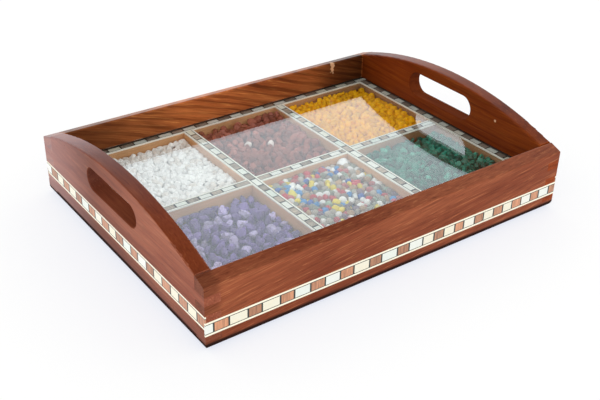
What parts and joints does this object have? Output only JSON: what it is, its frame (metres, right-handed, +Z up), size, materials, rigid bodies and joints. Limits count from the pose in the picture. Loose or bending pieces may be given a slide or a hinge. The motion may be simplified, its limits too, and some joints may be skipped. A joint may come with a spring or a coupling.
{
  "type": "mineral specimen box",
  "caption": "Handled wooden tray box with arched ends, inlaid banding and a loose glass pane over compartments of coloured mineral chips.",
  "frame": {"origin": "centre of the underside, on the surface that the box stands on", "axes": "+X along the long boards towards the right end board, +Y from the front board to the back board, +Z up"},
  "size_m": [0.4, 0.304, 0.09],
  "materials": {
    "rosewood": "oiled red-brown hardwood, satin",
    "lining_wood": "plain tan hardwood, matt",
    "plywood": "plain plywood, matt",
    "pearl": "polished pale shell or bone",
    "tile_wood": "light reddish wood, polished",
    "dark_wood": "blackened wood veneer",
    "pale_wood": "cream wood stringing, polished",
    "glass": "clear float glass",
    "white_stone": "broken white quartz, waxy",
    "red_stone": "red-brown stone chips",
    "yellow_stone": "yellow stone chips",
    "purple_stone": "purple crystal chips",
    "mixed_stone": "tumbled pebbles of many colours",
    "green_stone": "dark green stone chips"
  },
  "bodies": {
    "tray": {"back_band_dark_lines": "dark_wood", "back_band_pale_stringing": "pale_wood", "back_band_pearl_tiles": "pearl", "back_band_wood_tiles": "tile_wood", "back_board": "rosewood", "back_ledge": "lining_wood", "base_panel": "plywood", "front_band_dark_lines": "dark_wood", "front_band_pale_stringing": "pale_wood", "front_band_pearl_tiles": "pearl", "front_band_wood_tiles": "tile_wood", "front_board": "rosewood", "front_ledge": "lining_wood", "green_chips": "green_stone", "ledge_dark_lines": "dark_wood", "ledge_pale_stringing": "pale_wood", "ledge_pearl_tiles": "pearl", "ledge_wood_tiles": "tile_wood", "left_band_dark_lines": "dark_wood", "left_band_pale_stringing": "pale_wood", "left_band_pearl_tiles": "pearl", "left_band_wood_tiles": "tile_wood", "left_divider": "lining_wood", "left_divider_dark_lines": "dark_wood", "left_divider_pale_stringing": "pale_wood", "left_divider_pearl_tiles": "pearl", "left_divider_wood_tiles": "tile_wood", "left_end_board": "rosewood", "left_ledge": "lining_wood", "long_divider": "lining_wood", "long_divider_dark_lines": "dark_wood", "long_divider_pale_stringing": "pale_wood", "long_divider_pearl_tiles": "pearl", "long_divider_wood_tiles": "tile_wood", "mixed_chips": "mixed_stone", "purple_chips": "purple_stone", "red_chips": "red_stone", "right_band_dark_lines": "dark_wood", "right_band_pale_stringing": "pale_wood", "right_band_pearl_tiles": "pearl", "right_band_wood_tiles": "tile_wood", "right_divider": "lining_wood", "right_divider_dark_lines": "dark_wood", "right_divider_pale_stringing": "pale_wood", "right_divider_pearl_tiles": "pearl", "right_divider_wood_tiles": "tile_wood", "right_end_board": "rosewood", "right_ledge": "lining_wood", "white_chips": "white_stone", "yellow_chips": "yellow_stone"},
    "pane": {"glass_pane": "glass"}
  },
  "joints": [
    {"name": "glass_lift", "type": "slide", "parent": "tray", "child": "pane", "axis": [0, 0, 1], "range_m": [0, 0.06]}
  ]
}
